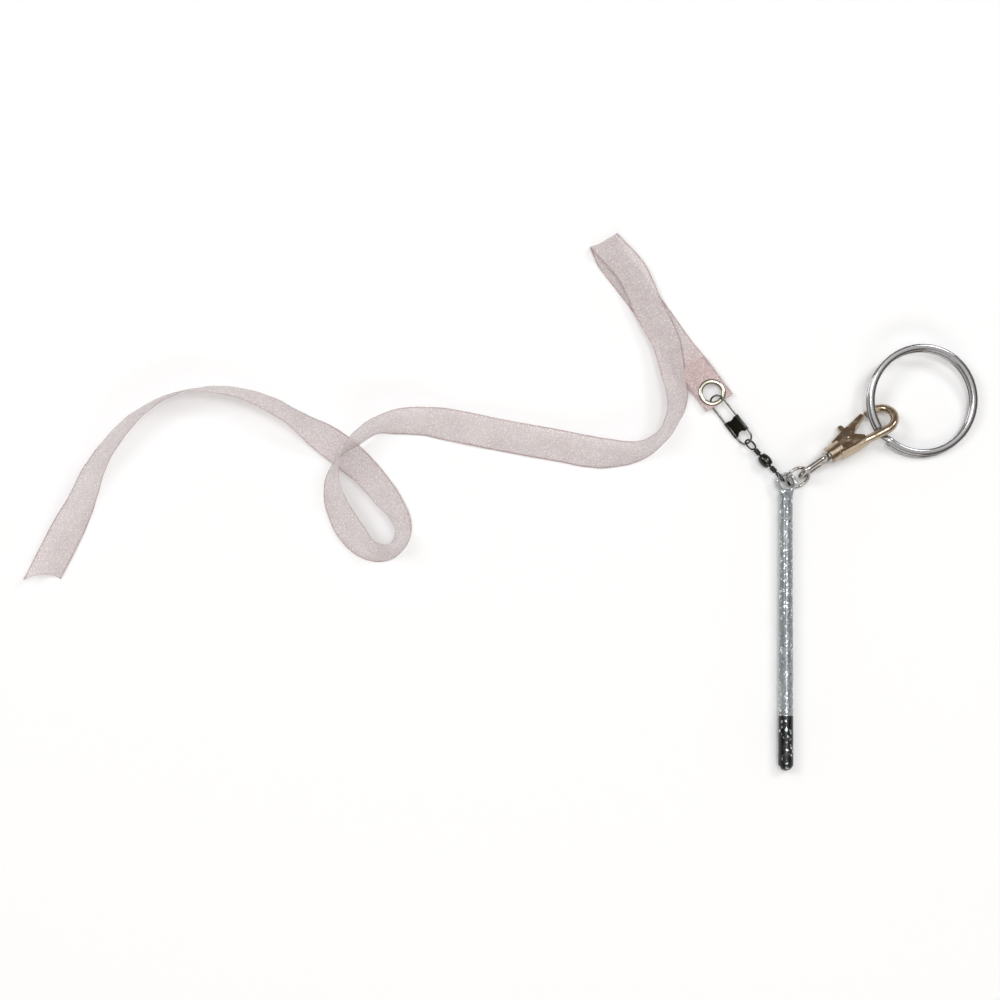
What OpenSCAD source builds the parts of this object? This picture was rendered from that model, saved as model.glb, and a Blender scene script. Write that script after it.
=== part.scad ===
// Key-chain rhythmic ribbon wand, laid out flat on a table.
// Millimetres, +Z up, table at z = 0, origin within 1 mm of the middle of the object's footprint.

/* [Stick] */
// Length of the stick from the top of its head to its dipped end
stick_len = 91.5; // [90:0.5:93]
// Diameter of the stick below its neck
stick_d_top = 4.0; // [3.8:0.1:4.2]
// Diameter of the stick at its dipped end
stick_d_end = 4.6; // [4.4:0.1:4.6]
// Length of the black dipped end
dip_len = 16.5; // [14:0.5:19]
// Diameter of the flattened head
head_d = 6.4; // [6.2:0.1:6.6]
// Thickness of the flattened head
head_t = 1.3; // [1.2:0.1:1.4]
// Bore of the head
head_bore = 4.3; // [4.2:0.1:4.4]

/* [Clasp] */
// Wire diameter of the hook
hook_wire = 2.6; // [2.4:0.1:2.6]
// Mean radius of the hook's bow
hook_r = 4.5; // [4.4:0.1:4.6]
// Collar diameter
collar_d = 5.4; // [5.2:0.1:5.6]
// Roll of the clasp about its own axis
clasp_roll = 32; // [31:1:33]
// Bar diameter of the clasp's swivel eye
eye_bar = 1.8; // [1.7:0.1:1.9]

/* [Rings] */
// Outside diameter of the key ring
key_od = 35; // [34.5:0.25:35.25]
// Radial width of the key ring's wire
key_w = 2.1; // [1.9:0.1:2.1]
// Height of one turn of the key ring
key_h = 1.0; // [0.9:0.05:1.0]
// Mean radius of the jump ring
jump_r = 3.5; // [3.45:0.05:3.55]
// Wire diameter of the jump ring
jump_wire = 1.0; // [0.9:0.05:1.0]

/* [Swivel and snap] */
// Wire diameter of the barrel swivel's eyes
eye_wire = 0.55; // [0.5:0.05:0.55]
// Diameter of the swivel's barrel
barrel_d = 3.6; // [3.5:0.1:3.7]
// Wire diameter of the snap
snap_w = 0.6; // [0.5:0.05:0.6]
// Bend radius of the snap's two ends
snap_r = 2.3; // [2.25:0.05:2.35]

/* [Ribbon] */
// Outside diameter of the eyelet
eyelet_od = 8.6; // [8.4:0.1:8.8]
// Bore of the eyelet
eyelet_bore = 5.9; // [5.8:0.1:6]
// Width of the ribbon
ribbon_w = 10; // [9.8:0.1:10.2]
// Thickness of the ribbon's solid
ribbon_t = 0.3; // [0.26:0.02:0.32]

/* [Hidden] */
$fn = 48;

// Stick: its head sits at head_at and the rod runs down to a slightly lower end.
head_at = [87.5, 3.0, 3.0];
stick_turn = -91.5;
stick_pitch = 0.45;
hole_r = head_bore / 2;

// Jump ring: centre, long axis and tilt.
jump_at = [91.2, 4.7, 3.2];
jump_turn = 19.5;
jump_tilt = 44;

// Clasp: end of its swivel eye, direction, and the collar's place along it.
clasp_from = [92.0, 5.1, 3.95];
clasp_turn = 35;
collar_x = 12.7;
hook_x = 18.0;
rivet_at = [6.4, 1.2];
// Gap on each side of the gate, and thickness and outer half width of the two cheeks.
gate_gap = 0.15;
cheek_t = 0.9;
cheek_z = 1.9;
// Stem of the swivel eye, its riveted head inside the collar, and their clearance.
stem_d = 2.0;
stem_head_d = 3.2;
stem_head_len = 0.8;
bore_clear = 0.15;
// How far back from the collar's place the eye's shoulder ends: the collar's back and a gap.
collar_back = 1.75;
// Start of the pocket for the stem's head, and the rivet's bore and diameter.
pocket_x = 1.3;
rivet_bore = 1.3;
rivet_d = 1.2;

// Key ring: its centre, the direction of the line that it is tilted about, and its tilt.
key_at = [130.6, 29.0, 4.15];
key_turn = 26.7;
key_tilt = 9.5;
turn_gap = 0.1;
turn_shift = [-0.35, -0.55];

// Barrel swivel: from the head's rim up to the snap.
swivel_from = [85.63, 4.87, 3.0];
swivel_turn = 130.2;
swivel_drop = 4.6;
swivel_half = 6.8;
eye_r = 1.5;
eye_stretch = 0.35;
// Neck of a swivel eye: its core, its wound coils and the head that turns inside the barrel.
neck_d = 0.8;
coil_start = 2.4;
coil_pitch = 0.47;
coil_r = 0.55;
coil_wire = 0.54;
eye_head_d = 1.8;
eye_head_len = 0.7;
barrel_half = 2.05;
barrel_end_d = 2.4;
pocket_d = 2.2;
pocket_len = 2.4;
neck_bore = 1.1;

// Snap: its lower bend's centre, direction and roll; run is between the two bend centres.
snap_from = [75.4, 17.2, 1.95];
snap_turn = 127;
snap_roll = 37;
snap_low = 0.7;
snap_high = 14.3;

// Eyelet, a little off the snap's own line.
eyelet_along = 17.9;
eyelet_off = -0.6;
eyelet_z = 1.95;
eyelet_t = 1.1;
// Wall of the eyelet's barrel, and height of its rolled rim.
eyelet_wall = 0.35;
rim_h = 0.4;
washer_t = 0.3;

// Route of the ribbon: centre x, y, z, direction that its width points in, and its lean.
ROUTE = [
    [67.6, 28.6, 1.88, 215, 0], [65.1, 31.9, 1.88, 215, 0], [62.2, 36.1, 1.88, 215, 0],
    [59.6, 40.1, 1.1, 215, 0], [54.9, 46.3, 0.5, 214, 0], [48.4, 56.0, 0.4, 213, 0],
    [40.5, 67.1, 0.4, 212, 0], [34.4, 75.4, 0.4, 210, 0], [32.1, 80.7, 0.9, 209, 0],
    [31.7, 81.3, 1.5, 209, 0], [32.7, 79.9, 2.1, 209, 0], [40.4, 70.8, 2.0, 210, 3],
    [45.8, 58.5, 1.9, 209, 6], [50.6, 48.4, 2.6, 206, 16], [52.7, 38.8, 3.5, 194, 30],
    [53.9, 30.1, 4.2, 180, 42], [52.2, 22.7, 4.8, 163, 60], [48.3, 16.6, 5.2, 140, 70],
    [41.6, 12.6, 4.9, 108, 60], [32.8, 12.1, 3.6, 90, 38], [25.1, 13.2, 2.2, 82, 20],
    [17.3, 14.8, 2.1, 79, 18], [-1.5, 18.3, 2.0, 79, 18], [-15.6, 21.3, 1.5, 80, 12],
    [-24.7, 22.4, 3.2, 86, 37], [-32.7, 22.3, 4.2, 93, 49], [-40.6, 20.4, 5.4, 112, 70],
    [-45.8, 16.5, 6.3, 130, 78], [-49.6, 12.8, 6.4, 140, 92], [-52.2, 8.6, 6.1, 155, 108],
    [-53.4, 2.6, 5.2, 172, 124], [-51.8, -4.4, 4.1, 190, 141], [-47.5, -12.3, 3.6, 208, 147],
    [-41.6, -18.0, 4.2, 235, 128], [-35.6, -18.6, 5.0, 272, 112], [-32.3, -15.0, 5.0, 322, 112],
    [-32.3, -9.4, 4.4, 0, 126], [-36.1, -2.8, 3.6, 25, 143], [-42.3, 5.2, 2.7, 40, 150],
    [-48.4, 11.1, 1.2, 49, 168], [-54.9, 16.2, 1.2, 55, 166], [-60.7, 20.0, 3.2, 58, 145],
    [-66.0, 23.6, 4.2, 60, 129], [-73.8, 28.0, 4.9, 66, 124], [-83.9, 31.6, 5.1, 72, 119],
    [-95.2, 32.5, 5.2, 84, 109], [-105.7, 29.9, 5.3, 106, 99], [-115.0, 23.6, 5.3, 126, 90],
    [-122.3, 15.2, 5.2, 141, 80], [-127.3, 6.4, 5.0, 150, 67], [-131.4, -3.8, 4.0, 154, 48],
    [-137.2, -14.6, 1.9, 153, 18], [-143.0, -27.1, 2.1, 165, 20]];
bed = 0.03;

// Point at share t of the way from p1 to p2, on a spline through four stations.
function spline(p0, p1, p2, p3, t) = 0.5 * (2 * p1 + (p2 - p0) * t
    + (2 * p0 - 5 * p1 + 4 * p2 - p3) * pow(t, 2) + (3 * p1 - p0 - 3 * p2 + p3) * pow(t, 3));
function shortest(a, b) = b - 360 * round((b - a) / 360);
function unrolled(i) = i == 0 ? ROUTE[0][3] : shortest(unrolled(i - 1), ROUTE[i][3]);
STATIONS = [for (i = [0:len(ROUTE) - 1])
    [ROUTE[i][0], ROUTE[i][1], ROUTE[i][2], unrolled(i), ROUTE[i][4]]];
function station(i) = STATIONS[max(0, min(len(STATIONS) - 1, i))];
STEPS = 3;
PATH = [for (i = [0:len(STATIONS) - 2], k = [0:STEPS - 1])
    spline(station(i - 1), station(i), station(i + 1), station(i + 2), k / STEPS),
    station(len(STATIONS) - 1)];
LAST = len(PATH) - 1;
function across(s) = [cos(s[4]) * cos(s[3]), cos(s[4]) * sin(s[3]), sin(s[4])];
function place(s) = [s[0], s[1], s[2]];
function along(i) = let (d = place(PATH[min(LAST, i + 1)]) - place(PATH[max(0, i - 1)])) d / norm(d);
function face(i) = let (n = cross(along(i), across(PATH[i]))) n / norm(n);
function lifted(p) = [p[0], p[1], max(bed, p[2])];
function ring(i) = let (c = place(PATH[i]), w = across(PATH[i]) * ribbon_w / 2,
    n = face(i) * ribbon_t / 2) [lifted(c - w - n), lifted(c + w - n), lifted(c + w + n), lifted(c - w + n)];

module on_axis(from, turn, drop = 0, roll = 0) {
    translate(from) rotate([0, 0, turn]) rotate([0, drop, 0]) rotate([roll, 0, 0]) children();
}

module rod(a, b, d, d2 = 0) {
    v = b - a;
    translate(a) rotate([0, acos(v[2] / norm(v)), atan2(v[1], v[0])])
        cylinder(h = norm(v), d1 = d, d2 = d2 > 0 ? d2 : d);
}

// Round bar bent to an arc in the XY plane, centred on the origin.
module bend(r, d, from, sweep) {
    rotate([0, 0, from]) rotate_extrude(angle = sweep) translate([r, 0]) circle(d = d);
}

// Closed wire link: two half circles joined by straights, its length along X.
module link(r, x1, x2, d) {
    translate([x1, 0, 0]) bend(r, d, 90, 180);
    translate([x2, 0, 0]) bend(r, d, -90, 180);
    for (s = [-1, 1]) rod([x1, s * r, 0], [x2, s * r, 0], d);
}

module in_stick() {
    on_axis(head_at, stick_turn, stick_pitch) children();
}

module stick_rod() {
    dip_x = stick_len - head_d / 2 - dip_len;
    dip_d = stick_d_top + (stick_d_end - stick_d_top) * dip_x / (stick_len - head_d / 2);
    neck = 4.2;
    neck_w = 4.9;
    slice = 0.4;
    color("silver") in_stick() difference() {
        union() {
            cylinder(h = head_t, d = head_d, center = true);
            hull() {
                translate([1.2, 0, 0]) cube([slice, neck_w, head_t], center = true);
                translate([neck, 0, 0]) rotate([0, 90, 0])
                    cylinder(h = slice, d = stick_d_top, center = true, $fn = 32);
            }
            rod([neck, 0, 0], [dip_x, 0, 0], stick_d_top, dip_d);
        }
        cylinder(h = 3 * head_t, r = hole_r, center = true);
        translate([0, 0, head_t / 2]) cylinder(h = 3, r = head_d / 2);
        translate([0, 0, -3 - head_t / 2]) cylinder(h = 3, r = head_d / 2);
    }
}

module grip_dip() {
    end_x = stick_len - head_d / 2;
    dip_x = end_x - dip_len;
    dip_d = stick_d_top + (stick_d_end - stick_d_top) * dip_x / end_x;
    color([0.08, 0.08, 0.09]) in_stick() {
        rod([dip_x, 0, 0], [end_x - stick_d_end / 2, 0, 0], dip_d, stick_d_end);
        translate([end_x - stick_d_end / 2, 0, 0]) rotate([0, 90, 0]) intersection() {
            sphere(d = stick_d_end);
            cylinder(h = stick_d_end, d = 2 * stick_d_end);
        }
    }
}

module jump_ring() {
    color("silver") on_axis(jump_at, jump_turn, 0, jump_tilt)
        rotate_extrude() translate([jump_r, 0]) circle(d = jump_wire);
}

// The clasp's own frame: X along it from the end of its eye, Y across, Z through its rivet.
module in_clasp(x = 0) {
    on_axis(clasp_from, clasp_turn, 0, -clasp_roll) translate([x, 0, 0]) children();
}

module clasp_eye() {
    r = 2.85;
    far = 7.1;
    eye_roll = 8;
    bite = 0.5;
    shoulder_d = 3.6;
    color("silver") on_axis(clasp_from, clasp_turn) rotate([90 - eye_roll, 0, 0]) {
        link(r, r, far, eye_bar);
        translate([far + r - bite, 0, 0]) rotate([0, 90, 0])
            cylinder(h = collar_x - collar_back - far - r + bite, d = shoulder_d);
    }
}

module clasp_stem() {
    head_x = 1.5;
    color("dimgray") on_axis(clasp_from, clasp_turn) rotate([0, 90, 0]) {
        translate([0, 0, collar_x - collar_back]) cylinder(h = collar_back + head_x, d = stem_d);
        translate([0, 0, collar_x + head_x]) cylinder(h = stem_head_len, d = stem_head_d);
    }
}

// Flat outline of one cheek: wide at the collar side, with the notch that shows the spring.
module cheek_outline() {
    polygon([[1.2, -2.9], [1.2, 2.3], [6.3, 3.6], [8.2, 3.9], [8.9, 2.6], [8.0, 0.6], [10.4, -2.2],
        [10.4, -3.7], [6, -3.6]]);
}

module clasp_body() {
    tip_angle = 112;
    spine_turn = 10;
    spine_run = 14.2;
    slot = 2 * (cheek_z - cheek_t);
    collar_from = -1.6;
    collar_to = 2.6;
    pocket = stem_head_len + 0.4;
    color([0.75, 0.72, 0.68]) in_clasp(collar_x) difference() {
        union() {
            rotate([0, 90, 0]) translate([0, 0, collar_from])
                cylinder(h = collar_to - collar_from, d = collar_d);
            translate([0, 0, -cheek_z]) linear_extrude(2 * cheek_z) cheek_outline();
            translate([hook_x, 0, 0]) rotate([0, 0, -spine_turn]) {
                bend(hook_r, hook_wire, -90, 90 + tip_angle + spine_turn);
                rod([-spine_run, -hook_r, 0], [0, -hook_r, 0], hook_wire);
            }
        }
        rotate([0, 90, 0]) translate([0, 0, -3]) cylinder(h = 3.1 + pocket_x, d = stem_d + 2 * bore_clear);
        rotate([0, 90, 0]) translate([0, 0, pocket_x]) cylinder(h = pocket, d = stem_head_d + 2 * bore_clear);
        translate([rivet_at[0], rivet_at[1], 0]) cylinder(h = 9, d = rivet_bore, center = true);
        translate([2.9, -2.3, -slot / 2]) cube([8.5, 8, slot]);
    }
}

module trigger_gate() {
    t = 2 * (cheek_z - cheek_t - gate_gap);
    color([0.7, 0.68, 0.65]) in_clasp(collar_x) difference() {
        union() {
            translate([0, 0, -t / 2]) linear_extrude(t) {
                polygon([[5.4, 0.4], [4.9, 2.6], [6.6, 4.3], [15.0, 5.7], [15.3, 4.4], [10.8, 2.5],
                    [9.0, 1.2], [8.2, 0.1], [6.6, -0.2]]);
            }
            translate([6.4, 3.4, -0.2]) linear_extrude(t / 2 + 0.2) {
                translate([0.7, 2.3]) circle(d = 1.7);
                polygon([[-0.3, 0], [1.7, 0], [1.5, 2.3], [-0.1, 2.3]]);
            }
        }
        translate([rivet_at[0], rivet_at[1], 0]) cylinder(h = 9, d = rivet_bore, center = true);
    }
}

module gate_rivet() {
    rivet_head_t = 0.3;
    rivet_head_d = 1.9;
    color("gray") in_clasp(collar_x) translate([rivet_at[0], rivet_at[1], 0]) {
        cylinder(h = 2 * cheek_z, d = rivet_d, center = true);
        for (s = [-1, 1]) translate([0, 0, s * (cheek_z + rivet_head_t / 2)])
            cylinder(h = rivet_head_t, d = rivet_head_d, center = true);
    }
}

module gate_spring() {
    leg = 0.35;
    turns = 4;
    pitch = 0.62;
    color([0.15, 0.2, 0.17]) in_clasp(collar_x) {
        for (k = [0:turns - 1]) translate([5.0 + pitch * k, -1.25, 0]) rotate([0, 90, 0])
            rotate_extrude() translate([0.6, 0]) circle(d = 0.5);
        rod([4.8, -1.85, 0], [7.1, -1.85, 0], leg);
    }
}

module key_turn_of(z, from, sweep) {
    rotate([0, 0, from]) rotate_extrude(angle = sweep, $fn = 96)
        translate([key_od / 2 - key_w / 2, z]) intersection() {
            square([key_w, key_h], center = true);
            circle(d = 1.06 * key_w);
        }
}

module key_ring() {
    step = (key_h + turn_gap) / 2;
    // The step from the lower turn to the upper one, and the angles that it and the two ends' gaps take.
    link_at = 218;
    link_sweep = 9;
    upper_sweep = 356;
    lower_start = link_at + 12;
    lower_sweep = 352;
    link_inset = 0.45;
    color("silver") on_axis(key_at, key_turn) rotate([key_tilt, 0, 0]) rotate([0, 0, -key_turn]) {
        key_turn_of(step, link_at, upper_sweep);
        translate(turn_shift) key_turn_of(-step, lower_start, lower_sweep);
        translate([turn_shift[0] / 2, turn_shift[1] / 2, -step - key_h / 2]) rotate([0, 0, link_at])
            rotate_extrude(angle = link_sweep) translate([key_od / 2 - key_w + link_inset, 0])
                square([key_w - 2 * link_inset, 2 * step + key_h]);
    }
}

module in_swivel(x) {
    on_axis(swivel_from, swivel_turn, swivel_drop) translate([x, 0, 0]) children();
}

// One eye of the swivel with its wound neck; X runs from the eye to the barrel.
module swivel_eye(roll) {
    inner = swivel_half - pocket_len / 2 + bore_clear;
    rotate([roll, 0, 0]) link(eye_r, -eye_stretch, eye_stretch, eye_wire);
    rod([eye_r + eye_stretch, 0, 0], [inner, 0, 0], neck_d);
    for (k = [0:3]) translate([coil_start + coil_pitch * k, 0, 0]) rotate([0, 90, 0])
        rotate_extrude() translate([coil_r, 0]) circle(d = coil_wire);
    translate([inner, 0, 0]) rotate([0, 90, 0]) cylinder(h = eye_head_len, d = eye_head_d);
}

module swivel_lower_eye() {
    color([0.12, 0.12, 0.13]) in_swivel(0) swivel_eye(90);
}

module swivel_upper_eye() {
    color([0.12, 0.12, 0.13]) in_swivel(2 * swivel_half) mirror([1, 0, 0]) swivel_eye(35);
}

module swivel_barrel() {
    color([0.1, 0.1, 0.11]) in_swivel(swivel_half) rotate([0, 90, 0]) difference() {
        union() {
            sphere(d = barrel_d);
            cylinder(h = 2 * barrel_half, d = barrel_end_d, center = true);
        }
        cylinder(h = 9, d = neck_bore, center = true);
        cylinder(h = pocket_len, d = pocket_d, center = true);
    }
}

module in_snap(roll = snap_roll) {
    on_axis(snap_from, snap_turn, 0, -roll) children();
}

module snap_wire() {
    color([0.5, 0.48, 0.45]) in_snap() link(snap_r, snap_low, snap_high, snap_w);
}

module snap_plate() {
    x1 = 1.9;
    x2 = 7.6;
    half = snap_r + 0.42;
    t = 0.5;
    rib = [0.4, 1.8, 0.8];
    groove_clear = 0.02;
    color([0.13, 0.13, 0.13]) in_snap() difference() {
        union() {
            translate([x1, -half, -t / 2]) cube([x2 - x1, 2 * half, t]);
            for (s = [-1, 1]) rod([x1, s * snap_r, 0], [x2, s * snap_r, 0], snap_w + t);
            translate([x1 + rib[0], -rib[1] / 2, -rib[2] / 2]) cube([x2 - x1 - 2 * rib[0], rib[1], rib[2]]);
        }
        for (s = [-1, 1]) rod([x1 - 1, s * snap_r, 0], [x2 + 1, s * snap_r, 0], snap_w + 2 * groove_clear);
        translate([x1 - 0.9, 0, 0]) cylinder(h = 3, r = 1.7, center = true);
        translate([x2 + 1.5, 0, 0]) cylinder(h = 3, r = 1.9, center = true);
    }
}

module in_eyelet() {
    on_axis([snap_from[0], snap_from[1], 0], snap_turn)
        translate([eyelet_along, eyelet_off, eyelet_z]) children();
}

module eyelet() {
    r = eyelet_bore / 2;
    color([0.85, 0.83, 0.72]) in_eyelet() difference() {
        union() {
            cylinder(h = eyelet_t, r = r + eyelet_wall, center = true);
            rotate_extrude() translate([(r + eyelet_od / 2) / 2, eyelet_t / 2 - rim_h / 2]) intersection() {
                circle(d = eyelet_od / 2 - r);
                square([4, rim_h], center = true);
            }
        }
        cylinder(h = 3, r = r, center = true);
    }
}

module eyelet_washer() {
    r = eyelet_bore / 2 + eyelet_wall;
    color([0.8, 0.78, 0.7]) in_eyelet() translate([0, 0, -eyelet_t / 2]) difference() {
        cylinder(h = washer_t, d = eyelet_od - rim_h);
        translate([0, 0, -1]) cylinder(h = 3, r = r);
    }
}

module ribbon() {
    sides = 4;
    rings = [for (i = [0:LAST]) ring(i)];
    points = [for (r = rings, p = r) p];
    // The two broad faces are split along the same diagonal, so they stay a thickness apart where they twist.
    walls = [for (i = [0:LAST - 1], k = [0:sides - 1]) let (a = i * sides + k,
        b = i * sides + (k + 1) % sides) each k == 2
            ? [[a, a + sides, b + sides], [a, b + sides, b]]
            : [[a, a + sides, b], [b, a + sides, b + sides]]];
    first = [[0, 1, 2], [0, 2, 3]];
    n = LAST * sides;
    last = [[n, n + 2, n + 1], [n, n + 3, n + 2]];
    color([0.93, 0.78, 0.77]) difference() {
        polyhedron(points = points, faces = concat(walls, first, last));
        in_eyelet() cylinder(h = 4, r = eyelet_bore / 2 + eyelet_wall + 0.01, center = true);
    }
}

stick_rod();
grip_dip();
jump_ring();
clasp_eye();
clasp_stem();
clasp_body();
trigger_gate();
gate_rivet();
gate_spring();
key_ring();
swivel_lower_eye();
swivel_barrel();
swivel_upper_eye();
snap_wire();
snap_plate();
eyelet();
eyelet_washer();
ribbon();
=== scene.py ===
"""Key-chain rhythmic ribbon wand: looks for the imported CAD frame. Metres, in the CAD's own frame."""
import math

import bmesh
import bpy
import numpy as np
from mathutils import Matrix, Vector


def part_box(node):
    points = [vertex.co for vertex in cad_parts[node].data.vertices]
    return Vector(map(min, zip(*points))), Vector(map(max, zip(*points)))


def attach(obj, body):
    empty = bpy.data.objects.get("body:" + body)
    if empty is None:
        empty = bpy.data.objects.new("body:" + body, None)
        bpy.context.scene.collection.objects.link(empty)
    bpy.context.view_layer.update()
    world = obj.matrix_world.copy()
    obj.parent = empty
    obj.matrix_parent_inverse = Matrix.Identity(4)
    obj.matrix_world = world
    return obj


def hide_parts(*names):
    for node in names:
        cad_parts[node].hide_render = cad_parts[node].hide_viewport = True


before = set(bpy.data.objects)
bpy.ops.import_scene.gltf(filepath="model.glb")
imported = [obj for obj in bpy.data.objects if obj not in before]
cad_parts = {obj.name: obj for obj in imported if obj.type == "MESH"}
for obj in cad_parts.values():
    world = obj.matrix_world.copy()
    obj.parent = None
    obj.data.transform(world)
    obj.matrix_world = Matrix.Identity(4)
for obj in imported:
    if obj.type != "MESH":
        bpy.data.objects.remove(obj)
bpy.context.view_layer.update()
MM = 0.001


# ---------------------------------------------------------------- camera, light and floor

VIEW_TARGET = (-1.5 * MM, -2.0 * MM, 0.0)
VIEW_ELEVATION = 82.0
VIEW_DISTANCE = 480 * MM
VIEW_LENS = 55.3


def make_camera():
    data = bpy.data.cameras.new("view")
    data.lens = VIEW_LENS
    data.sensor_width = 36.0
    data.clip_start = 0.01
    data.clip_end = 20.0
    cam = bpy.data.objects.new("view", data)
    bpy.context.scene.collection.objects.link(cam)
    e = math.radians(VIEW_ELEVATION)
    back = Vector((0.0, -math.cos(e), math.sin(e)))
    cam.location = Vector(VIEW_TARGET) + back * VIEW_DISTANCE
    cam.rotation_euler = (math.radians(90 - VIEW_ELEVATION), 0.0, 0.0)
    bpy.context.scene.camera = cam


def area_light(name, place, size, power, colour):
    data = bpy.data.lights.new(name, "AREA")
    data.shape = "RECTANGLE"
    data.size, data.size_y = size
    data.energy = power
    data.color = colour
    lamp = bpy.data.objects.new(name, data)
    bpy.context.scene.collection.objects.link(lamp)
    lamp.location = place
    lamp.rotation_euler = (-Vector(place)).to_track_quat("-Z", "Y").to_euler()


COOL_WHITE = (0.95, 0.975, 1.0)
WHITE = (1, 1, 1)
# Each soft light: name, place, size, power and colour. All of them point at the origin.
LIGHTS = [("soft_left", (-0.75, 0.35, 0.95), (0.5, 0.5), 4.2, COOL_WHITE),
          ("soft_right", (0.7, 0.5, 0.9), (0.35, 0.35), 2.9, COOL_WHITE),
          ("soft_front", (0.15, -1.0, 0.75), (0.9, 0.3), 2.4, WHITE),
          ("soft_top", (0.16, 0.02, 1.1), (0.2, 0.2), 1.7, WHITE)]
# The sky by the sine of its height: 0 at the horizon and below it, 1 straight above. The dark band between
# them gives the metal its dark sides, and the bright top its highlights.
SKY = [(0.0, (0.55, 0.57, 0.6)), (0.22, (0.5, 0.51, 0.53)), (0.4, (0.15, 0.12, 0.09)),
       (0.8, (0.19, 0.15, 0.115)), (0.93, (0.95, 0.98, 1.01)), (1.0, (1.1, 1.14, 1.17))]
SKY_STRENGTH = 1.25


def make_light():
    for light in LIGHTS:
        area_light(*light)
    world = bpy.data.worlds.new("studio")
    bpy.context.scene.world = world
    world.use_nodes = True
    nt = world.node_tree
    nt.nodes.clear()
    out = nt.nodes.new("ShaderNodeOutputWorld")
    back = nt.nodes.new("ShaderNodeBackground")
    ramp = nt.nodes.new("ShaderNodeValToRGB")
    split = nt.nodes.new("ShaderNodeSeparateXYZ")
    coord = nt.nodes.new("ShaderNodeTexCoord")
    while len(ramp.color_ramp.elements) < len(SKY):
        ramp.color_ramp.elements.new(0.5)
    for element, (at, colour) in zip(ramp.color_ramp.elements, SKY):
        element.position = at
        element.color = (*colour, 1)
    nt.links.new(coord.outputs["Generated"], split.inputs[0])
    nt.links.new(split.outputs["Z"], ramp.inputs[0])
    nt.links.new(ramp.outputs[0], back.inputs["Color"])
    nt.links.new(back.outputs[0], out.inputs["Surface"])
    back.inputs["Strength"].default_value = SKY_STRENGTH


FLOOR_SIZE = 6.0
FLOOR_Z = -0.0001


def make_floor():
    bpy.ops.mesh.primitive_plane_add(size=FLOOR_SIZE, location=(0, 0, FLOOR_Z))
    floor = bpy.context.object
    floor.name = "floor"
    m = Paint("floor_pale", (0.975, 0.975, 0.975), roughness=0.8)
    m.set("Specular IOR Level", 0.2)
    floor.data.materials.append(m.material)


# ---------------------------------------------------------------- material helper

class Paint:
    """A Principled material with short calls for the nodes that the pieces share."""

    def __init__(self, name, colour, roughness, metallic=0.0):
        self.material = bpy.data.materials.new(name)
        self.material.use_nodes = True
        self.nt = self.material.node_tree
        self.shader = self.nt.nodes["Principled BSDF"]
        self.set("Base Color", (*colour, 1))
        self.set("Roughness", roughness)
        self.set("Metallic", metallic)

    @classmethod
    def of(cls, material):
        """The same short calls for a material that is already made."""
        m = cls.__new__(cls)
        m.material, m.nt = material, material.node_tree
        m.shader = m.nt.nodes["Principled BSDF"]
        return m

    def set(self, socket, value):
        self.shader.inputs[socket].default_value = value

    def node(self, kind, **settings):
        n = self.nt.nodes.new("ShaderNode" + kind)
        for key, value in settings.items():
            setattr(n, key, value)
        return n

    def link(self, out, into):
        self.nt.links.new(out, into if not isinstance(into, str) else self.shader.inputs[into])

    def place(self, stretch=(1, 1, 1)):
        """The object's own coordinates, scaled, as a vector output."""
        coord = self.node("TexCoord")
        mapping = self.node("Mapping")
        mapping.inputs["Scale"].default_value = stretch
        self.link(coord.outputs["Object"], mapping.inputs[0])
        return mapping.outputs[0]

    def noise(self, scale, vector, detail=2.0):
        n = self.node("TexNoise")
        n.inputs["Scale"].default_value = scale
        n.inputs["Detail"].default_value = detail
        self.link(vector, n.inputs["Vector"])
        return n.outputs[0]

    def cells(self, scale, vector):
        """A random value for each cell of a Voronoi pattern."""
        n = self.node("TexVoronoi")
        n.inputs["Scale"].default_value = scale
        self.link(vector, n.inputs["Vector"])
        one = self.node("SeparateColor")
        self.link(n.outputs["Color"], one.inputs[0])
        return one.outputs[0]

    def ramp(self, value, *stops):
        n = self.node("ValToRGB")
        while len(n.color_ramp.elements) < len(stops):
            n.color_ramp.elements.new(0.5)
        for element, (at, shade) in zip(n.color_ramp.elements, stops):
            element.position = at
            colour = shade if hasattr(shade, "__len__") else (shade,) * 3
            element.color = (*colour, 1)
        self.link(value, n.inputs[0])
        return n.outputs[0]

    def mix(self, share, a, b, blend="MIX"):
        n = self.node("Mix", data_type="RGBA", blend_type=blend)
        for i, source in ((0, share), (6, a), (7, b)):
            if isinstance(source, (int, float)):
                n.inputs[i].default_value = source
            elif isinstance(source, tuple):
                n.inputs[i].default_value = (*source, 1)
            else:
                self.link(source, n.inputs[i])
        return n.outputs[2]

    def math(self, operation, a, b=0.0):
        n = self.node("Math", operation=operation)
        for i, source in enumerate((a, b)):
            if isinstance(source, (int, float)):
                n.inputs[i].default_value = source
            else:
                self.link(source, n.inputs[i])
        return n.outputs[0]

    def bump(self, height, strength, distance):
        n = self.node("Bump")
        n.inputs["Strength"].default_value = strength
        n.inputs["Distance"].default_value = distance
        self.link(height, n.inputs["Height"])
        self.link(n.outputs[0], "Normal")


# ---------------------------------------------------------------- metals and plastics

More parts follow.
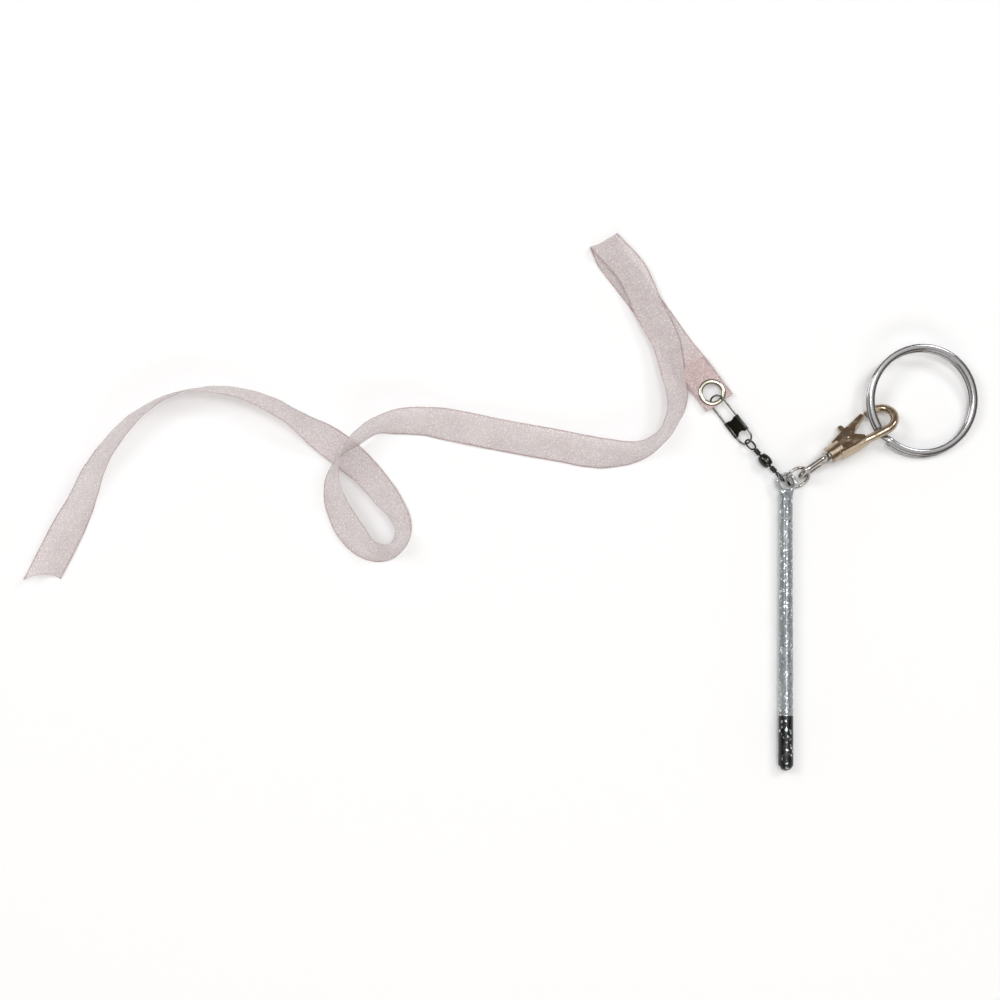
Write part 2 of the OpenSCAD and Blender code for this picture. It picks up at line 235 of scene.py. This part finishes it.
def plated(name, colour, roughness, wear=0.06, stain=0.9, wavy=0.0):
    """Plated metal: faint stains, fine scratches and, on cast parts, a wavy skin."""
    m = Paint(name, colour, roughness, 1.0)
    at = m.place()
    spots = m.noise(700.0, at, 2.0)
    dark = tuple(c * stain for c in colour)
    m.link(m.ramp(spots, (0.38, dark), (0.6, colour)), "Base Color")
    scratch = m.noise(4200.0, m.place((1, 1, 0.15)), 4.0)
    m.link(m.ramp(scratch, (0.35, roughness), (0.75, roughness + wear)), "Roughness")
    if wavy:
        m.bump(m.noise(300.0, at, 1.0), wavy, 0.0006)
    else:
        m.bump(scratch, 0.05, 0.00001)
    return m.material


def painted_edge_shade(material, node, crown, reach, dark):
    """Painted shade: darkens the plating on each side of an upright ring's crown, where its rounded rim turns
    down.
    """
    m = Paint.of(material)
    low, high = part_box(node)
    coord = m.node("TexCoord")
    flat = m.node("Mapping")
    flat.inputs["Location"].default_value = [-(low[0] + high[0]) / 2, -(low[1] + high[1]) / 2, 0]
    flat.inputs["Scale"].default_value = (1, 1, 0)
    m.link(coord.outputs["Object"], flat.inputs[0])
    length = m.node("VectorMath", operation="LENGTH")
    m.link(flat.outputs[0], length.inputs[0])
    off = m.math("ABSOLUTE", m.math("SUBTRACT", length.outputs["Value"], crown))
    # Painted shade mask: none on the crown, full towards the rim's inner and outer edges.
    rim_shade = m.ramp(m.math("DIVIDE", off, reach), (0.5, 0.0), (0.86, 1.0))
    source = m.shader.inputs["Base Color"].links[0].from_socket
    m.link(m.mix(rim_shade, source, dark), "Base Color")


# Millimetres: centre of the stick's head, as in the CAD, and the radii between which the painted shade round
# the bore fades.
HEAD_AT = (87.5, 3.0)
BORE_FADE = (2.35, 2.65)
BORE_REACH = 5.0


def stick_plastic():
    """Clear cast plastic, packed with silver and a little dark glitter, with painted shade in and round the
    head's bore.
    """
    m = Paint("stick_glitter", (0.62, 0.65, 0.67), 0.22)
    at = m.place()
    pale = m.noise(420.0, m.place((1, 0.35, 1)), 3.0)
    base = m.ramp(pale, (0.32, (0.16, 0.178, 0.186)), (0.55, (0.215, 0.238, 0.246)),
                  (0.72, (0.30, 0.33, 0.335)))
    fleck = m.cells(2300.0, at)
    bright = m.ramp(fleck, (0.86, 0.0), (0.9, 1.0))
    spot = m.cells(1500.0, at)
    shade = m.ramp(spot, (0.90, 0.0), (0.93, 1.0))
    colour = m.mix(bright, base, (0.85, 0.88, 0.9))
    colour = m.mix(shade, colour, (0.16, 0.17, 0.2))
    m.link(m.ramp(fleck, (0.84, 0.0), (0.9, 0.7)), "Metallic")
    m.link(m.ramp(fleck, (0.0, 0.4), (0.9, 0.16)), "Roughness")
    m.set("Coat Weight", 0.7)
    m.set("Coat Roughness", 0.05)
    head = m.node("Mapping")
    head.inputs["Location"].default_value = (-HEAD_AT[0] * MM, -HEAD_AT[1] * MM, 0)
    head.inputs["Scale"].default_value = (1, 1, 0)
    m.link(m.node("TexCoord").outputs["Object"], head.inputs[0])
    away = m.node("VectorMath", operation="LENGTH")
    m.link(head.outputs[0], away.inputs[0])
    # Painted shade: near black in and round the head's bore, fading out between the BORE_FADE radii.
    bore = m.ramp(m.math("MULTIPLY", away.outputs["Value"], 1 / (BORE_REACH * MM)),
                  (BORE_FADE[0] / BORE_REACH, 1.0), (BORE_FADE[1] / BORE_REACH, 0.0))
    m.link(m.mix(bore, colour, (0.05, 0.05, 0.045)), "Base Color")
    m.bump(m.noise(2000.0, at, 2.0), 0.4, 0.00005)
    return m.material


def dip_plastic():
    """Black gloss filled with fine glitter, with a wavy skin."""
    m = Paint("dip_glitter", (0.02, 0.02, 0.022), 0.25)
    at = m.place()
    fleck = m.cells(1500.0, at)
    glint = m.ramp(fleck, (0.91, 0.0), (0.94, 1.0))
    base = m.ramp(m.noise(600.0, at), (0.35, (0.002, 0.002, 0.003)), (0.7, (0.016, 0.017, 0.018)))
    m.link(m.mix(glint, base, (0.55, 0.6, 0.58)), "Base Color")
    m.link(m.ramp(fleck, (0.91, 0.0), (0.94, 0.85)), "Metallic")
    m.link(m.ramp(fleck, (0.0, 0.3), (0.9, 0.15)), "Roughness")
    m.set("Specular IOR Level", 0.3)
    m.set("Coat Weight", 0.25)
    m.set("Coat Roughness", 0.05)
    m.bump(m.noise(480.0, at, 2.0), 0.8, 0.0002)
    return m.material


# ---------------------------------------------------------------- pieces made from CAD shapes

WELD_REACH = 0.004 * MM
FLAT_ANGLE = 2
SHARP_ANGLE = 38


def weld(mesh):
    """Joins a CAD mesh's split corners and its flat facets, so that it can be bevelled."""
    bm = bmesh.new()
    bm.from_mesh(mesh)
    bmesh.ops.remove_doubles(bm, verts=bm.verts, dist=WELD_REACH)
    bmesh.ops.dissolve_limit(bm, angle_limit=math.radians(FLAT_ANGLE), verts=bm.verts, edges=bm.edges)
    bm.to_mesh(mesh)
    bm.free()


def softened(node, material, edge, body):
    """A copy of a CAD node with its sharp edges rounded, which stands for it."""
    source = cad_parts[node]
    piece = bpy.data.objects.new(node + "_rounded", source.data.copy())
    bpy.context.scene.collection.objects.link(piece)
    weld(piece.data)
    piece.data.materials.clear()
    piece.data.materials.append(material)
    bevel = piece.modifiers.new("edges", "BEVEL")
    bevel.width = edge
    bevel.segments = 3
    bevel.limit_method = "ANGLE"
    bevel.angle_limit = math.radians(SHARP_ANGLE)
    bevel.harden_normals = False
    for face in piece.data.polygons:
        face.use_smooth = True
    normals = piece.modifiers.new("normals", "WEIGHTED_NORMAL")
    normals.keep_sharp = True
    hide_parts(node)
    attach(piece, body)


def finish_node(node, material):
    """Gives a CAD node its detailed material, and leaves its shape alone."""
    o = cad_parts[node]
    if not o.material_slots:
        o.data.materials.append(material)
    for s in o.material_slots:
        s.material = material


def swept(name, rows, material, node, body, closed=False):
    """A tube through rows of section points, capped unless it closes on itself. It stands for a node."""
    count, around = len(rows), len(rows[0])
    faces = []
    for i in range(count if closed else count - 1):
        j = (i + 1) % count
        for k in range(around):
            n = (k + 1) % around
            faces.append((i * around + k, i * around + n, j * around + n, j * around + k))
    if not closed:
        faces.append(tuple(range(around))[::-1])
        faces.append(tuple((count - 1) * around + k for k in range(around)))
    mesh = bpy.data.meshes.new(name)
    mesh.from_pydata([tuple(p) for row in rows for p in row], [], faces)
    bm = bmesh.new()
    bm.from_mesh(mesh)
    bmesh.ops.recalc_face_normals(bm, faces=bm.faces)
    bm.to_mesh(mesh)
    bm.free()
    for face in mesh.polygons:
        face.use_smooth = len(face.vertices) == 4
    mesh.materials.append(material)
    piece = bpy.data.objects.new(name, mesh)
    bpy.context.scene.collection.objects.link(piece)
    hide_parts(node)
    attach(piece, body)


# Millimetres: bore radius, barrel wall, rise and depth of the rolled rim, and its lip, in from the edge and
# down from the top.
EYELET_BORE = 2.95
EYELET_WALL = 0.33
EYELET_ROLL = 0.42
EYELET_DEPTH = 0.5
EYELET_LIP = (0.15, 0.55)
EYELET_SIDES = 96


def make_eyelet(material):
    """The rolled rim of the eyelet and its barrel, as one turned profile."""
    low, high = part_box("eyelet")
    middle = [(a + b) / 2 for a, b in zip(low, high)]
    outer = (high[0] - low[0]) / 2
    top, bottom = high[2] - middle[2], low[2] - middle[2]
    bore = EYELET_BORE * MM
    wall, roll = EYELET_WALL * MM, EYELET_ROLL * MM
    crown, reach = (outer + bore) / 2, (outer - bore) / 2
    profile = []
    for t in range(0, 181, 9):
        a = math.radians(t)
        profile.append((crown + reach * math.cos(a), top - roll + roll * math.sin(a) ** 0.9))
    profile.append((bore, bottom))
    profile.append((bore + wall, bottom))
    profile.append((bore + wall, top - EYELET_DEPTH * MM))
    profile.append((outer - EYELET_LIP[0] * MM, top - EYELET_LIP[1] * MM))
    rows = []
    for i in range(EYELET_SIDES):
        a = math.tau * i / EYELET_SIDES
        rows.append([(middle[0] + r * math.cos(a), middle[1] + r * math.sin(a), middle[2] + z)
                     for r, z in profile])
    # Painted shade, dark olive, on the sloping sides of the eyelet's rolled rim.
    painted_edge_shade(material, "eyelet", crown, reach, (0.13, 0.115, 0.07))
    swept("eyelet_rolled", rows, material, "eyelet", "ribbon_end", closed=True)


# The swivel's direction in degrees, as in the CAD, and half the length, radius and fullness of its oval.
SWIVEL_TURN = 130.2
SWIVEL_DROP = 4.6
BARREL_HALF = 2.05
BARREL_RADIUS = 1.8
BARREL_OVAL = 2.75
BARREL_SIDES = 72
# Millimetres: the rim's chamfer, length and radius, the radii of the rim and the bore, and the pocket's half
# length and radius.
BARREL_CHAMFER = (0.05, 1.08)
BARREL_RIM = 0.95
BARREL_BORE = 0.55
BARREL_POCKET = (1.2, 1.1)


def make_barrel(material):
    """The swivel's barrel as one turned oval, with the bores that the eyes' stems turn in."""
    low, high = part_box("swivel_barrel")
    middle = (Vector(low) + Vector(high)) / 2
    turn, drop = math.radians(SWIVEL_TURN), math.radians(SWIVEL_DROP)
    way = Vector((math.cos(drop) * math.cos(turn), math.cos(drop) * math.sin(turn), -math.sin(drop)))
    side = way.cross(Vector((0, 0, 1))).normalized()
    up = side.cross(way)
    end = BARREL_HALF
    profile = []
    for t in range(25):
        x = end * (t / 12 - 1)
        profile.append((x, BARREL_RADIUS * math.sqrt(1 - (x / BARREL_OVAL) ** 2)))
    bevel, shoulder = BARREL_CHAMFER
    deep, wide = BARREL_POCKET
    inside = [(end - bevel, shoulder), (end, BARREL_RIM), (end, BARREL_BORE),
              (deep, BARREL_BORE), (deep, wide)]
    profile += inside + [(-x, r) for x, r in reversed(inside)]
    rows = []
    for i in range(BARREL_SIDES):
        a = math.tau * i / BARREL_SIDES
        out = math.cos(a) * side + math.sin(a) * up
        rows.append([middle + (x * way + r * out) * MM for x, r in profile])
    swept("barrel_turned", rows, material, "swivel_barrel", "barrel", closed=True)


# Key ring in millimetres and degrees. Place, turn and tilt are as in the CAD. The section is half the wire's
# width and height, and the square is the power that flattens its sides. The step is half the rise from one
# turn to the next, and the shift is the lower turn's. The wire runs from one free end's angle to the other's.
KEY_AT = (130.6, 29.0, 4.15)
KEY_TURN = 26.7
KEY_TILT = 9.5
KEY_RADIUS = 16.45
KEY_SECTION = (1.05, 0.5)
KEY_STEP = 0.55
KEY_SHIFT = (-0.35, -0.55)
KEY_FREE_ENDS = (230, 934)
KEY_CLIMB = (576, 592)
KEY_STEPS = 420
KEY_SQUARE = 0.86
KEY_SIDES = 28


def make_key_ring(material):
    """The split ring as one wire of two turns, which starts below and climbs over its own start."""
    section = []
    for k in range(KEY_SIDES):
        a = math.tau * k / KEY_SIDES
        c, d = math.cos(a), math.sin(a)
        section.append((KEY_SECTION[0] * math.copysign(abs(c) ** KEY_SQUARE, c),
                        KEY_SECTION[1] * math.copysign(abs(d) ** KEY_SQUARE, d)))
    turn, lean = math.radians(KEY_TURN), math.radians(KEY_TILT)
    tilt = (Matrix.Translation(Vector(KEY_AT)) @ Matrix.Rotation(turn, 4, "Z")
            @ Matrix.Rotation(lean, 4, "X") @ Matrix.Rotation(-turn, 4, "Z"))
    rows = []
    for i in range(KEY_STEPS + 1):
        deg = KEY_FREE_ENDS[0] + (KEY_FREE_ENDS[1] - KEY_FREE_ENDS[0]) * i / KEY_STEPS
        up = min(1.0, max(0.0, (deg - KEY_CLIMB[0]) / (KEY_CLIMB[1] - KEY_CLIMB[0])))
        up = up * up * (3 - 2 * up)
        a = math.radians(deg)
        end = min(i, KEY_STEPS - i)
        taper = 1.0 if end > 1 else 0.9
        row = []
        for u, w in section:
            r = KEY_RADIUS + u * taper
            point = Vector((r * math.cos(a) + KEY_SHIFT[0] * (1 - up),
                            r * math.sin(a) + KEY_SHIFT[1] * (1 - up),
                            KEY_STEP * (2 * up - 1) + w * taper))
            row.append(tilt @ point * MM)
        rows.append(row)
    swept("split_ring", rows, material, "key_ring", "key_ring")


# ---------------------------------------------------------------- the ribbon

RIBBON_WIDTH = 10 * MM
# Centre x, y, z in millimetres, the way that the width points, and the lean, as in the CAD.
ROUTE = [
    (67.6, 28.6, 1.88, 215, 0), (65.1, 31.9, 1.88, 215, 0), (62.2, 36.1, 1.88, 215, 0),
    (59.6, 40.1, 1.1, 215, 0), (54.9, 46.3, 0.5, 214, 0), (48.4, 56.0, 0.4, 213, 0),
    (40.5, 67.1, 0.4, 212, 0), (34.4, 75.4, 0.4, 210, 0), (32.1, 80.7, 0.9, 209, 0),
    (31.7, 81.3, 1.5, 209, 0), (32.7, 79.9, 2.1, 209, 0), (40.4, 70.8, 2.0, 210, 3),
    (45.8, 58.5, 1.9, 209, 6), (50.6, 48.4, 2.6, 206, 16), (52.7, 38.8, 3.5, 194, 30),
    (53.9, 30.1, 4.2, 180, 42), (52.2, 22.7, 4.8, 163, 60), (48.3, 16.6, 5.2, 140, 70),
    (41.6, 12.6, 4.9, 108, 60), (32.8, 12.1, 3.6, 90, 38), (25.1, 13.2, 2.2, 82, 20),
    (17.3, 14.8, 2.1, 79, 18), (-1.5, 18.3, 2.0, 79, 18), (-15.6, 21.3, 1.5, 80, 12),
    (-24.7, 22.4, 3.2, 86, 37), (-32.7, 22.3, 4.2, 93, 49), (-40.6, 20.4, 5.4, 112, 70),
    (-45.8, 16.5, 6.3, 130, 78), (-49.6, 12.8, 6.4, 140, 92), (-52.2, 8.6, 6.1, 155, 108),
    (-53.4, 2.6, 5.2, 172, 124), (-51.8, -4.4, 4.1, 190, 141), (-47.5, -12.3, 3.6, 208, 147),
    (-41.6, -18.0, 4.2, 235, 128), (-35.6, -18.6, 5.0, 272, 112), (-32.3, -15.0, 5.0, 322, 112),
    (-32.3, -9.4, 4.4, 0, 126), (-36.1, -2.8, 3.6, 25, 143), (-42.3, 5.2, 2.7, 40, 150),
    (-48.4, 11.1, 1.2, 49, 168), (-54.9, 16.2, 1.2, 55, 166), (-60.7, 20.0, 3.2, 58, 145),
    (-66.0, 23.6, 4.2, 60, 129), (-73.8, 28.0, 4.9, 66, 124), (-83.9, 31.6, 5.1, 72, 119),
    (-95.2, 32.5, 5.2, 84, 109), (-105.7, 29.9, 5.3, 106, 99), (-115.0, 23.6, 5.3, 126, 90),
    (-122.3, 15.2, 5.2, 141, 80), (-127.3, 6.4, 5.0, 150, 67), (-131.4, -3.8, 4.0, 154, 48),
    (-137.2, -14.6, 1.9, 153, 18), (-143.0, -27.1, 2.1, 165, 20)]
STEPS = 10
COLUMNS = 28
# Millimetres: length and drop of the turned-under end, the cloth's thickness and least height, the free
# end's curve and skew and how far they reach, the eyelet's hole, and the run in which it is cut.
HEM = 15.2
HEM_DROP = 0.3
CLOTH = 0.06
CLEAR_OF_FLOOR = 0.08
END_CURVE = 1.8
END_SKEW = 1.7
END_REACH = 12
EYELET_HOLE = 3.45
HOLE_RUN = 40
# The turned-under end's rows, the share of its length past which it dips, and the slope of the dip.
HEM_ROWS = 34
HEM_LEVEL = 0.62
HEM_DIP = 0.55
# Millimetres: where the ripples start, and how far they take to fade in and out.
RIPPLE_START = 42
RIPPLE_FADE = (20, 8)
# Millimetres of run to one unit of the cloth's v, and the stretch of v that the hem's tint is placed in.
V_LENGTH = 10
HEM_TINT_SPAN = 46.4
THREADS = 240.0


def spline(stations, steps):
    """Points of a Catmull-Rom spline through the stations, as the CAD draws it."""
    p = np.array(stations, float)
    p[:, 3] = np.degrees(np.unwrap(np.radians(p[:, 3])))
    rows = []
    last = len(p) - 1
    for i in range(last):
        p0, p1, p2, p3 = p[max(i - 1, 0)], p[i], p[i + 1], p[min(i + 2, last)]
        for t in np.arange(steps) / steps:
            rows.append(0.5 * (2 * p1 + (p2 - p0) * t + (2 * p0 - 5 * p1 + 4 * p2 - p3) * t**2
                               + (3 * p1 - p0 - 3 * p2 + p3) * t**3))
    rows.append(p[last])
    return np.array(rows)


def hem_rows(first, second):
    """Rows of the turned-under end, which run under the ribbon's start from the cut edge to the fold."""
    way = (second[:3] - first[:3]) / np.linalg.norm(second[:3] - first[:3])
    out = []
    for t in np.linspace(1, 0, HEM_ROWS):
        r = first.copy()
        r[:3] = first[:3] + way * HEM * t
        r[2] = first[2] - HEM_DROP - HEM_DIP * max(0.0, t - HEM_LEVEL)
        out.append(r)
    return np.array(out)


def ribbon_grid():
    """Rows of points across the ribbon in millimetres, each row's run and each column's share of width."""
    rows = spline(ROUTE, STEPS)
    rows = np.vstack([hem_rows(rows[0], rows[2]), rows])
    centre = rows[:, :3]
    turn, lean = np.radians(rows[:, 3]), np.radians(rows[:, 4])
    across = np.stack([np.cos(lean) * np.cos(turn), np.cos(lean) * np.sin(turn), np.sin(lean)], 1)
    along = np.gradient(centre, axis=0)
    along /= np.maximum(np.linalg.norm(along, axis=1), 1e-9)[:, None]
    face = np.cross(along, across)
    face /= np.maximum(np.linalg.norm(face, axis=1), 1e-9)[:, None]
    run = np.concatenate([[0], np.cumsum(np.linalg.norm(np.diff(centre, axis=0), axis=1))])
    share = np.linspace(-1, 1, COLUMNS + 1)
    s = run[:, None]
    free = np.clip((s - RIPPLE_START) / RIPPLE_FADE[0], 0, 1) * np.clip((run[-1] - s) / RIPPLE_FADE[1], 0, 1)
    curl = 0.34 * np.sin(s * 0.045 + 0.6) + 0.2 * np.sin(s * 0.021 + 2.0)
    bow = curl * (share[None] ** 2 - 0.4)
    ripple = 0.10 * np.sin(s * 0.31 + 5 * share[None]) + 0.06 * np.sin(s * 0.83 - 7 * share[None])
    crease = 0.13 * np.sin(s * 0.11) * np.exp(-((share[None] - 0.45 * np.sin(s * 0.017)) / 0.12) ** 2)
    lift = free * (bow + ripple * (0.35 + 0.65 * np.abs(share[None])) + crease)
    width = RIBBON_WIDTH / MM / 2
    grid = (centre[:, None] + across[:, None] * (share[None, :, None] * width)
            + face[:, None] * lift[..., None])
    end = run[-1] - s
    near = np.clip(1 - end / END_REACH, 0, 1) ** 1.5
    cut = near * (END_SKEW * share[None] - END_CURVE * (1 - share[None] ** 2))
    grid += along[:, None] * cut[..., None]
    grid[..., 2] = np.maximum(grid[..., 2], CLEAR_OF_FLOOR)
    return grid, run, share


def make_ribbon():
    """The cloth itself, with the hole for the eyelet, which stands for the CAD's plain band."""
    grid, run, share = ribbon_grid()
    rows, cols = grid.shape[:2]
    lo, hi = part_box("eyelet")
    middle = np.array([(lo[0] + hi[0]) / 2, (lo[1] + hi[1]) / 2]) / MM
    mesh = bpy.data.meshes.new("ribbon")
    faces = []
    for i in range(rows - 1):
        for k in range(cols - 1):
            c = grid[i : i + 2, k : k + 2].reshape(4, 3).mean(0)
            if run[i] < HOLE_RUN and np.hypot(*(c[:2] - middle)) < EYELET_HOLE:
                continue
            a = i * cols + k
            faces.append((a, a + 1, a + cols + 1, a + cols))
    mesh.from_pydata([tuple(p) for p in (grid.reshape(-1, 3) * MM)], [], faces)
    layer = mesh.uv_layers.new(name="cloth")
    for loop in mesh.loops:
        i, k = divmod(loop.vertex_index, cols)
        layer.data[loop.index].uv = (0.5 + share[k] / 2, run[i] / V_LENGTH)
    bm = bmesh.new()
    bm.from_mesh(mesh)
    bmesh.ops.delete(bm, geom=[v for v in bm.verts if not v.link_faces], context="VERTS")
    bm.to_mesh(mesh)
    bm.free()
    for face in mesh.polygons:
        face.use_smooth = True
    piece = bpy.data.objects.new("organza_ribbon", mesh)
    bpy.context.scene.collection.objects.link(piece)
    mesh.materials.append(organza())
    thick = piece.modifiers.new("cloth", "SOLIDIFY")
    thick.thickness = CLOTH * MM
    thick.offset = 0
    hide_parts("ribbon")
    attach(piece, "ribbon_end")


def organza():
    """Sheer dusty-pink organza: open weave, woven edges, and fine glitter caught in it."""
    m = Paint("organza", (0.9, 0.74, 0.72), 0.5)
    uv = m.node("UVMap", uv_map="cloth")
    xy = m.node("SeparateXYZ")
    m.link(uv.outputs[0], xy.inputs[0])
    u, v = xy.outputs[0], xy.outputs[1]
    side = m.math("ABSOLUTE", m.math("SUBTRACT", u, 0.5))
    selvedge = m.ramp(side, (0.44, 0.0), (0.475, 1.0))
    weft = m.math("SINE", m.math("MULTIPLY", v, THREADS))
    warp = m.math("SINE", m.math("MULTIPLY", u, THREADS))
    weave = m.math("MULTIPLY", weft, warp)
    at = m.place()
    fleck = m.cells(6000.0, at)
    glint = m.ramp(fleck, (0.76, 0.0), (0.92, 1.0))
    grain = m.cells(5200.0, at)
    cloud = m.noise(140.0, at, 3.0)
    shade = m.ramp(cloud, (0.3, (0.735, 0.648, 0.645)), (0.7, (0.83, 0.758, 0.752)))
    speckle = m.ramp(grain, (0.1, (0.80, 0.76, 0.76)), (0.9, (1.0, 1.0, 1.0)))
    shade = m.mix(0.5, shade, speckle, "MULTIPLY")
    hem = m.ramp(m.math("MULTIPLY", v, 1 / HEM_TINT_SPAN),
                 (0.06, (1.0, 0.745, 0.72)), (0.085, (1.0, 1.0, 1.0)))
    body = m.mix(0.6, shade, hem, "MULTIPLY")
    body = m.mix(selvedge, body, (0.50, 0.36, 0.37))
    m.link(m.mix(m.math("MULTIPLY", glint, 0.75), body, (1.0, 0.97, 0.96)), "Base Color")
    m.link(m.ramp(fleck, (0.78, 0.55), (0.9, 0.3)), "Roughness")
    open_weave = m.ramp(weave, (0.0, 0.44), (1.0, 0.72))
    solid = m.math("MAXIMUM", open_weave, m.math("MULTIPLY", selvedge, 0.9))
    m.link(m.math("MAXIMUM", solid, m.math("MULTIPLY", glint, 0.75)), "Alpha")
    m.set("Sheen Weight", 0.2)
    m.bump(weave, 0.35, 0.00006)
    return m.material


# ---------------------------------------------------------------- everything together

make_camera()
make_light()
make_floor()

nickel = plated("bright_nickel", (0.46, 0.43, 0.40), 0.11)
ring_nickel = plated("ring_nickel", (0.36, 0.352, 0.355), 0.12, stain=0.96)
clasp_nickel = plated("warm_nickel", (0.50, 0.40, 0.29), 0.14, wavy=0.6)
black_nickel = plated("black_nickel", (0.055, 0.055, 0.05), 0.08)
wire_steel = plated("wire_steel", (0.20, 0.20, 0.18), 0.2)
pale_nickel = plated("pale_nickel", (0.62, 0.58, 0.46), 0.13)
spring_steel = plated("spring_steel", (0.10, 0.14, 0.11), 0.3)

finish_node("stick_rod", stick_plastic())
finish_node("grip_dip", dip_plastic())
for name in ("jump_ring", "clasp_eye", "clasp_stem", "gate_rivet"):
    finish_node(name, nickel)
finish_node("gate_spring", spring_steel)
for name in ("swivel_lower_eye", "swivel_upper_eye"):
    finish_node(name, black_nickel)
make_barrel(black_nickel)
finish_node("snap_wire", wire_steel)
finish_node("eyelet_washer", pale_nickel)
make_eyelet(plated("eyelet_nickel", (0.66, 0.61, 0.50), 0.13))
make_key_ring(ring_nickel)

softened("clasp_body", clasp_nickel, 0.3 * MM, "clasp")
softened("trigger_gate", clasp_nickel, 0.2 * MM, "gate")
softened("snap_plate", black_nickel, 0.08 * MM, "snap")
make_ribbon()

bpy.context.scene.view_settings.view_transform = "Standard"
